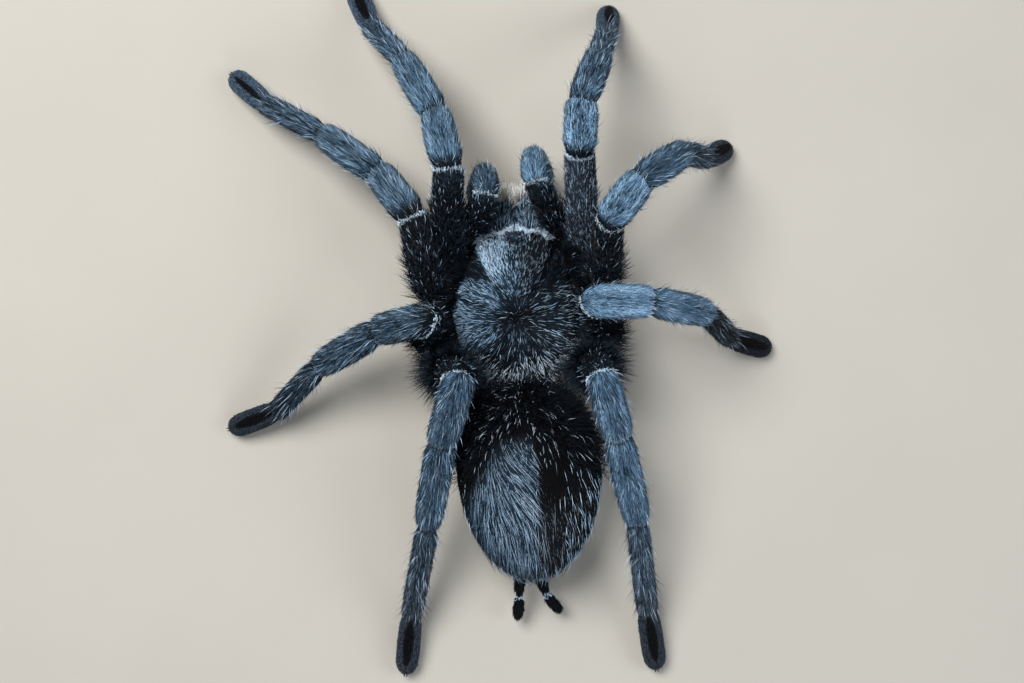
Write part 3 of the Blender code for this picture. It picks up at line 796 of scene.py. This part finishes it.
def grow(name, roots, rings=(0.0, 0.5)):
    """One piece of coat: every tuft is a bent three-sided spike, closed at root and tip.

    rings are the shares of the length where a tuft has a ring of three corners, from the root up.
    """
    count = len(roots.place)
    bend = np.where(np.abs(roots.bend) < 1e-3, 1e-3, roots.bend)
    side = np.cross(roots.normal, roots.way)
    corners = []         # the last one of a tuft is its tip
    for ring in (*rings, 1.0):
        angle = roots.lift - bend * ring
        ahead = (np.sin(roots.lift) - np.sin(angle)) / bend * roots.length
        up = (np.cos(angle) - np.cos(roots.lift)) / bend * roots.length
        middle = roots.place + roots.way * ahead[:, None] + roots.normal * up[:, None]
        if ring == 1.0:
            corners.append(middle)
            break
        upper = roots.normal * np.cos(angle)[:, None] - roots.way * np.sin(angle)[:, None]
        half = (roots.width / 2 * (1 - ring ** 1.6))[:, None]
        for third in range(3):
            turn = math.tau * (third / 3 + 0.25)
            corners.append(middle + (side * math.cos(turn) + upper * math.sin(turn)) * half)
    shares = np.array([*np.repeat(rings, 3), 1.0])
    thirds = np.array([0.0, 0.5, 1.0] * len(rings) + [0.5])
    corners = np.stack(corners, axis=1)
    corners[:, :, 2] = np.maximum(corners[:, :, 2], SKIN_LOWEST * MM)
    each = corners.shape[1]
    faces = [(0, 2, 1)]
    for ring in range(len(rings) - 1):
        for third in range(3):
            low, after = 3 * ring + third, 3 * ring + (third + 1) % 3
            faces += [(low, after, after + 3), (low, after + 3, low + 3)]
    last = 3 * (len(rings) - 1)
    faces += [(last + third, last + (third + 1) % 3, each - 1) for third in range(3)]
    faces = (np.array(faces)[None] + each * np.arange(count)[:, None, None]).reshape(-1)
    mesh = bpy.data.meshes.new(name)
    mesh.vertices.add(count * each)
    mesh.vertices.foreach_set("co", corners.ravel())
    mesh.loops.add(len(faces))
    mesh.loops.foreach_set("vertex_index", faces)
    mesh.polygons.add(len(faces) // 3)
    mesh.polygons.foreach_set("loop_start", np.arange(0, len(faces), 3))
    mesh.update(calc_edges=True)
    mesh.shade_smooth()
    colour_layer(mesh, "marks", np.repeat(roots.marks, each, axis=0))
    strand = np.ones((count, each, 4))
    strand[:, :, 0] = roots.tone[:, None]
    strand[:, :, 1] = shares
    colour_layer(mesh, "strand", strand)
    held = np.unique(roots.node)
    columns = math.ceil(math.sqrt(len(held)))
    cell = np.searchsorted(held, roots.node)
    room = (1.0 / columns) - 3 * PATCH
    u = (cell % columns) / columns + PATCH + room * np.clip((roots.share + 0.1) / 1.2, 0, 1)
    v = (cell // columns) / columns + PATCH + room * (roots.angle / math.tau + 0.5)
    u = u[:, None] + PATCH * thirds
    v = v[:, None] + PATCH * shares
    patches = np.stack((u, v), axis=2).reshape(-1, 2)[faces]
    mesh.uv_layers.new(name="OFBake").uv.foreach_set("vector", patches.ravel())
    mesh.materials.append(hair_finish.material)
    piece = add_object(name, mesh)
    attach(piece, "root")


# The pile: short dense hair over the whole animal, velvet on the black parts, dark blue on the
# legs.  The longer coat above it lets it show in the dark gaps between locks.
GROUPS = {
    "left_fore": ("leg_left_1", "leg_left_2", "palp_left"),
    "left_hind": ("leg_left_3", "leg_left_4"),
    "right_fore": ("leg_right_1", "leg_right_2", "palp_right"),
    "right_hind": ("leg_right_3", "leg_right_4"), "abdomen": ("abdomen", "spinneret"),
    "body": ("carapace", "eye_mound", "sternum", "pedicel", "chelicera")}
PILE = {         # length, and number to a square millimetre
    "femur": (1.0, 9.0), "patella": (0.9, 9.0), "tibia": (1.0, 9.0), "metatarsus": (0.9, 10.0),
    "tarsus": (0.55, 24.0), "body": (0.8, 10.0)}
OVERHANG = 0.4           # how far hair reaches over the joint after it
LEG_TONES = ((0.0, 0.22), (0.50, 1.0))     # the range of the dark hairs and of the pale ones
BODY_TONES = ((0.0, 0.06), (0.60, 1.0))
FOOT_TONES = ((0.30, 0.42), (0.42, 0.58))
jointed = np.isin(node_part, ["femur", "patella", "tibia", "metatarsus"])


def by_part(table):
    """Each node's length and density of hair, from a table of the kinds of part."""
    return np.array([table.get(part, (0.0, 0.0)) for part in node_part]).T


def grow_groups(name, roots, fine=()):
    """One piece of coat for each group of nodes; the fine groups' tufts have one more ring."""
    for group, starts in GROUPS.items():
        held = np.array([node.startswith(starts) for node in node_names])[roots.node]
        chosen = Roots(**{key: values[held] for key, values in vars(roots).items()})
        grow(f"{name}_{group}", chosen, (0.0, 0.5) if group in fine else (0.0,))


def dress(roots, length, width, lift, bend, yaw, bright):
    """Gives each root its length, width, lift, bend, direction and tone, all a little uneven.

    bright is the share of the hairs that are pale; those come in locks.  Dark and pale hairs
    are further apart in tone on the body than on the limbs.
    """
    count = len(roots.place)
    roots.way = lie(roots.place, roots.node, roots.normal)
    turn = yaw * (draw.normal(size=count) * 0.6 + waves(roots.place, 3.0, 11))
    roots.way = turned_by(roots.way, roots.normal, turn)
    length = length * draw.uniform(0.7, 1.25, count)
    _, after = from_joints(roots.place, roots.node)
    room = np.maximum(after, 0.1) + OVERHANG * draw.uniform(0.5, 1.3, count)
    roots.length = np.where(jointed[roots.node], np.minimum(length, room), length) * MM
    roots.lift = lift * draw.uniform(0.5, 1.5, count)
    roots.bend = bend * draw.uniform(0.5, 1.5, count)
    along = roots.share * axis_length[roots.node]
    streaks = np.stack((2.6 * roots.angle * MM, 0.2 * along, 5.0 * roots.node * MM), 1)
    part = roots.part
    locks = 0.3 * waves(roots.place, 4.0, 6) + np.where(
        part == "body", 0.5 * waves(roots.place, 0.9, 5), 0.75 * waves(streaks, 0.8, 5))
    pale = draw.random(count) < bright * (1 + 0.7 * locks)
    part = part[:, None, None]
    tones = np.where(part == "tarsus", FOOT_TONES, np.where(
        part == "body", BODY_TONES, LEG_TONES))[np.arange(count), pale.astype(int)]
    roots.tone = tones[:, 0] + (tones[:, 1] - tones[:, 0]) * draw.random(count)
    roots.width = width * draw.uniform(0.75, 1.25, count) * np.where(pale, 1.25, 0.9) * MM


pile_length, pile_density = by_part(PILE)
pile = scatter(pile_density[face_node])
pile_pale = np.where(pile.part == "body", 0.05, 0.25)
pile_pale += np.where(on(pile.node, "abdomen"), 0.10, 0.5 * pile.marks[:, SILVER])
dress(pile, pile_length[pile.node], 0.14, 0.42, 0.25, 0.18, pile_pale)
grow_groups("pile", pile)

# The overcoat: longer, finer hair lying close over the pile, on the blue parts of the legs and
# palps, the chelicerae, the carapace and the abdomen's brush.
OVERCOAT = {     # length, and number to a square millimetre
    "femur": (1.6, 2.0), "patella": (2.2, 20.0), "tibia": (2.6, 20.0),
    "metatarsus": (2.3, 20.0), "tarsus": (0.7, 2.0), "body": (1.5, 0.0)}
WHITE_SHARE = 0.07       # how many of the legs' long hairs are white
on_chelicera = on_part["chelicera_left"] | on_part["chelicera_right"]
over_length, over_density = by_part(OVERCOAT)
x, y, _ = from_waist(face_middle)
face_steel = markings(face_middle, face_node)[:, STEEL]
over = scatter(np.select(
    [on_part["abdomen"], on_part["carapace"], on_chelicera],
    [(0.05 + 11.0 * face_steel) * ramp(face_up, 0.0, 0.6),
     0.6 + (6.0 + 9.0 * inside_hump(x, y, 0.5)) * face_steel, 10.0],
    over_density[face_node] * (0.45 + 0.55 * ramp(face_up, -0.5, 0.2))))
x, y, _ = from_waist(over.place)
in_abdomen = on(over.node, "abdomen")
in_carapace = on(over.node, "carapace")
on_hump = inside_hump(x, y, 0.5)
over_length = np.select(
    [in_abdomen, in_carapace], [3.0 + 1.8 * ramp(y, 6.0, 30.0), 1.5 - 0.7 * on_hump],
    over_length[over.node])
# On the carapace more of the long hairs are pale on the left of the hump: a painted highlight.
bright = np.select(
    [in_abdomen, in_carapace, over.part == "patella", over.part == "tibia"],
    [0.28 + 0.35 * over.marks[:, SILVER], 0.52 + 0.24 * on_hump * painted_head_highlight(x, y), 0.52, 0.46],
    0.42) * limb_bright[over.node]
dress(over, over_length, 0.115, 0.24, 0.24, 0.14, bright)
on_leg = over.part != "body"
white = on_leg & (over.part != "tarsus") & (draw.random(len(on_leg)) < WHITE_SHARE)
over.tone[white] = 0.95
over.marks[white, SILVER] = 0.6
over.width *= np.select(
    [on_leg, in_abdomen, in_carapace], [0.78, 0.55, 0.68 + 0.10 * on_hump], 1.0)
swirl = 0.7 * (1 - on_hump) * waves(over.place, 6.0, 17)
over.way[in_carapace] = turned_by(over.way, over.normal, swirl)[in_carapace]
over.lift[in_carapace] += 0.15
over.bend[in_abdomen] += 0.12
# The abdomen's long hair is painted darker where the skin turns away from straight up: painted shade.
over.tone[in_abdomen] *= (0.15 + 0.85 * ramp(over.normal[:, 2], 0.45, 1.0))[in_abdomen]
on_body = in_abdomen | in_carapace
over.marks[on_body, STEEL] *= 2.6
over.marks[in_abdomen, SILVER] += 0.55
over.marks[on_body] = np.minimum(over.marks[on_body], 1.0)
grow_groups("overcoat", over, ("abdomen", "body"))

# The pale rims: a thin jagged line of short white hairs round the far end of every femur, fuller
# on the hind legs, a thinner one across the top of the ends of patellae and tibiae, and one
# along both sides of the patellae.
HIND_LEGS = ["leg_left_3", "leg_left_4", "leg_right_3", "leg_right_4"]


def set_marks(roots, *masks):
    """Gives all the hairs of a piece their first masks anew, and 0 for the others."""
    roots.marks[:] = 0.0
    for number, mask in enumerate(masks):
        roots.marks[:, number] = mask


_, face_after = from_joints(face_middle, face_node)
on_femur = face_part == "femur"
on_hind = on_limbs(face_node, HIND_LEGS)
edge_share = np.select(
    [node_part == "patella", node_part == "tibia"], [patella_end, tibia_end], 0.0)[face_node]
near_end = ramp(face_after, 0.6, 0.35) * ramp(face_after, -0.4, -0.1)
rim_density = 44.0 * near_end * on_femur * ramp(face_aside, 2.5, 2.1) * (1 + 0.8 * on_hind)
rim_density += 20.0 * edge_share * ramp(face_after, 0.6, 0.4) * ramp(face_aside, 1.9, 1.5)
side_edge = hump(face_aside, 1.55, 0.28) * (face_part == "patella") * edge_share
rims = scatter(rim_density + (5.0 + 9.0 * on_hind) * side_edge)
of_femur = rims.part == "femur"
dress(rims, 0.6, 0.08, np.where(of_femur, 0.7, 0.55), 0.2, 0.3, 1.0)
rims.length = np.where(of_femur, 0.45, 0.5) * draw.uniform(0.5, 1.3, len(of_femur)) * MM
set_marks(rims, 1.0, np.where(of_femur, 0.95, 0.75), np.where(of_femur, 0.25, 0.10))
hind = on_limbs(rims.node, HIND_LEGS)
rims.width[hind] *= 1.5
rims.length[hind] *= 1.35
grow("rims", rims, (0.0,))

# Long black hair round the roots of the legs and palps and along the femora; it fills the gaps
# between the coxae.  It is longest at the roots of the hind legs; there it is also thicker, partly as
# painted shade for the gaps between abdomen, carapace and legs.
x, y, _ = from_waist(face_middle)
root_density = 3.2 * on_femur * ramp(face_share, 0.72, 0.45) \
    + 7.5 * on_part["sternum_and_coxae"] * ramp(np.abs(x), 4.0, 7.0) * ramp(face_up, -0.6, 0.0)
root_density *= 1 + 2.4 * ramp(y, -6.0, -3.0) * np.where(on_femur, ramp(face_share, 0.5, 0.2), 1.0)
root_density *= np.where(on_hind & on_femur, ramp(face_share, 0.65, 0.35), 1.0)
root_density += 9.0 * on_part["pedicel"]
root_density[on(face_node, "leg_right_1_femur")] *= 0.3
root_hair = scatter(root_density)
far = np.where(root_hair.part == "femur", ramp(root_hair.share, 0.2, 0.8), 0.0)
rear = ramp(from_waist(root_hair.place)[1], -7.0, -3.0) * (1 - far)
dress(root_hair, 3.6 - 1.9 * far + 1.8 * rear, 0.15, 0.75 - 0.25 * far + 0.4 * rear, 0.45, 0.35, 0.0)
set_marks(root_hair, 0.15)
grow("root_hair", root_hair)

# Guard hairs: fine, long and well apart, standing off the legs so that they fringe the outline;
# some pale, more of them dark.
GUARD_HAIRS = {  # length, and number to a square millimetre
    "femur": (2.2, 0.5), "patella": (2.2, 1.0), "tibia": (2.6, 1.1), "metatarsus": (2.8, 1.2)}
guard_length, guard_density = by_part(GUARD_HAIRS)
guards = scatter(guard_density[face_node])
guard_length = guard_length[guards.node]
dress(guards, guard_length, 0.085, 0.62, 0.35, 0.25, 0.4)
guards.length = guard_length * draw.uniform(0.6, 1.3, len(guard_length)) * MM
guards.marks[:, STEEL] = 0.9
guards.marks[:, SILVER] = np.where(guards.tone > 0.5, 0.7, 0.0)
grow("guard_hairs", guards)

# Bristles: sparse white spikes on the black parts, slanting backward on the abdomen, where they
# are short in front and longer on the right flank, and along the lie of the coat elsewhere.
def fringe_reach(x, y, full):
    """1 where the fringe of the abdomen's front edge is, which reaches further back at the sides."""
    return ramp(y, 20.0 - 11.0 * hump(x, 0.0, 9.0), full)


RIGHT_FLANK = -6.5       # where it starts
x, y, z = from_waist(face_middle)
bristle_density = 0.12 * on_femur * ramp(face_up, -0.2, 0.3) + ramp(face_up, 0.0, 0.4) * (
    0.2 * on(face_node, "leg_right_1_femur") + 0.45 * on_part["sternum_and_coxae"])
front = ramp(y, 17.0, 12.0) * ramp(z, 8.0, 12.0) * ramp(np.abs(x - 1.0), 9.5, 6.0)
right = ramp(x, -5.5, -8.0) * ramp(y, 8.0, 14.0)
rear_flank = ramp(np.abs(x), 8.0, 11.0) * ramp(y, 18.0, 24.0)
bristles = scatter(np.select(
    [on_part["abdomen"], on_part["carapace"]],
    [0.06 + 0.60 * front + 0.40 * right + 0.25 * rear_flank, 0.55 * ramp(y, -20.0, -12.0)],
    bristle_density))
x, y, _ = from_waist(bristles.place)
in_abdomen = on(bristles.node, "abdomen")
in_fringe = in_abdomen * fringe_reach(x, y, 7.0)
bristle_length = np.where(in_abdomen, 1.0 + 1.8 * np.maximum(ramp(y, 14.0, 22.0), in_fringe), 1.8)
bristle_length[in_abdomen & (x < RIGHT_FLANK)] = 2.8
dress(bristles, bristle_length, 0.10, 0.25 + 0.75 * in_fringe, 0.2 + 0.7 * in_fringe, 0.22, 1.0)
back = along_skin(np.stack((0.02 * x, np.ones(len(x)), np.zeros(len(x))), 1), bristles.normal)
back = turned_by(back, bristles.normal, draw.normal(0.0, 0.18, len(x)))
straight = in_abdomen & (x > RIGHT_FLANK)
bristles.way[straight] = back[straight]
set_marks(bristles, 1.0, draw.uniform(0.35, 0.95, len(x)), 0.5 * in_abdomen * ramp(y, 20.0, 12.0))
grow("bristles", bristles)

# Fringes: a long mixed one on the carapace's rear edge and a black one on the abdomen's front,
# which hide the waist between them; a white one on the carapace's front edge; pale rings round
# the eye mound and the spinnerets; cream hair on the chelicerae's tips, mixed hair at the tail.
CARAPACE_FRONT = [(-28.6, 4.4), (-26.6, 7.2), (-21.0, 9.2)]     # y, half width
KNUCKLES = {"spinneret_left": (2.2, 42.0, 5.0), "spinneret_right": (-3.0, 41.8, 5.0)}


def fringe(name, density, length, width, lift, bend, yaw, paint, aside=0.0):
    """A piece of coat of its own colour: paint is the share of pale hairs and the four masks.

    aside turns the hairs away from the spider's middle line.
    """
    roots = scatter(density)
    dress(roots, length, width, lift, bend, yaw, paint[0])
    roots.length = length * draw.uniform(0.6, 1.25, len(roots.tone)) * MM
    outward = np.sign(roots.place[:, 0] - waist[0])
    roots.way = turned_by(roots.way, roots.normal, aside * outward)
    roots.tone = np.where(roots.tone > 0.5, 0.5 + 0.5 * roots.tone, roots.tone)
    roots.marks = np.where(roots.tone[:, None] > 0.5, paint[1], (0.1, 0.0, 0.0, 0.0))
    grow(name, roots)


x, y, z = from_waist(face_middle)
carapace_rear = on_part["carapace"] * ramp(y, -6.0, -3.0) * ramp(z, 12.5, 10.5)
fringe("fringe_carapace", 11.0 * carapace_rear, 3.2, 0.13, 0.15, 0.3, 0.35,
       (0.35, (1.0, 0.6, 0.4, 0.0)))
abdomen_front = on_part["abdomen"] * fringe_reach(x, y, 6.0) * ramp(z, 3.0, 7.0)
# The front corners get more of this fringe, the right most, partly as painted shade for the gap
# beside the hind legs.
abdomen_corner = ramp(np.abs(x), 3.0, 5.5) * ramp(y, 9.0, 6.0)
abdomen_corner *= 1 + ramp(x, -3.0, -6.0)
fringe("fringe_abdomen", (7.5 + 5.0 * abdomen_corner) * abdomen_front, 3.8, 0.14, 1.1, 0.6, 0.6,
       (0.0, (1.0, 0.6, 0.0, 0.0)))
from_edge = np.minimum(y + 28.6, 0.8 * (np.interp(y, *zip(*CARAPACE_FRONT)) - np.abs(x)))
front_edge = on_part["carapace"] * ramp(from_edge, 1.6, 1.0) * ramp(y, -25.6, -27.4)
front_edge *= ramp(z, 7.6, 8.4)
fringe("fringe_front", 60.0 * front_edge, 1.0, 0.12, 0.85, 0.4, 0.3,
       (2.0, (1.0, 1.0, 0.1, 0.0)), 0.9)
round_mound = np.hypot((x - EYE_MOUND[0]) / 2.5, (y - EYE_MOUND[1]) / 1.8)
eye_ring = on_part["carapace"] * hump(round_mound, 1.0, 0.22) * ramp(z, 10.0, 12.0)
fringe("fringe_eyes", 22.0 * eye_ring, 0.7, 0.11, 0.5, 0.3, 0.4,
       (0.8, (1.0, 0.7, 0.1, 0.0)))
knuckle_ring = np.zeros(len(x))
for name, knuckle in KNUCKLES.items():
    along = (from_waist(face_middle).T - knuckle) @ axis_along[node_number[name]]
    knuckle_ring += on_part[name] * hump(along, -0.3, 0.7)
fringe("fringe_spinnerets", 20.0 * knuckle_ring, 0.6, 0.12, 0.6, 0.3, 0.4,
       (0.9, (1.0, 0.6, 0.1, 0.0)))
chelicera_tip = on_chelicera * ramp(face_share, 0.62, 0.85) * ramp(face_up, -0.6, 0.0)
fringe("fringe_chelicerae", 14.0 * chelicera_tip, 3.6, 0.21, 1.0, 0.45, 0.5,
       (2.0, (1.0, 0.3, 1.0, 0.0)))
abdomen_rear = on_part["abdomen"] * ramp(y, 31.0, 35.0)
fringe("fringe_tail", 1.4 * abdomen_rear, 4.0, 0.11, 0.25, 0.35, 0.12,
       (0.35, (1.0, 0.3, 0.1, 0.0)))

# The claws: a pair of small hooks of the fangs' black horn at the end of each leg, half hidden in
# its brush.  Each is three short tapering tubes, end to end.
CLAW = [         # ahead, up and half thickness
    (-0.3, 0.0, 0.16), (0.25, 0.12, 0.14), (0.7, 0.05, 0.10), (0.95, -0.25, 0.02)]
CLAW_APART = 0.5
CLAW_INSET = 0.55        # how far behind and above the leg's end a pair starts from
claw_shape = bmesh.new()
for limb, (_, _, _, joints) in limbs.items():
    if limb.startswith("palp"):
        continue
    along, upper, across = limb_frame(joints[-2], joints[-1])
    for side in (-1, 1):
        spots = [
            joints[-1] + (
                along * (ahead - CLAW_INSET) + upper * (up + CLAW_INSET)
                + across * side * CLAW_APART / 2) * MM
            for ahead, up, _ in CLAW]
        for (one, two), (_, _, thick), (_, _, thin) in zip(zip(spots, spots[1:]), CLAW, CLAW[1:]):
            add_tube(claw_shape, one, two, [(0.0, thick * MM, 0.0), (1.0, thin * MM, 0.0)], 1.0, 8)
for vert in claw_shape.verts:
    vert.co.z = max(vert.co.z, SKIN_LOWEST * MM)
claws_mesh = to_mesh("claws", claw_shape)
claws_mesh.materials.append(fang_finish.material)
claws = add_object("claws", claws_mesh)
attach(claws, "root")
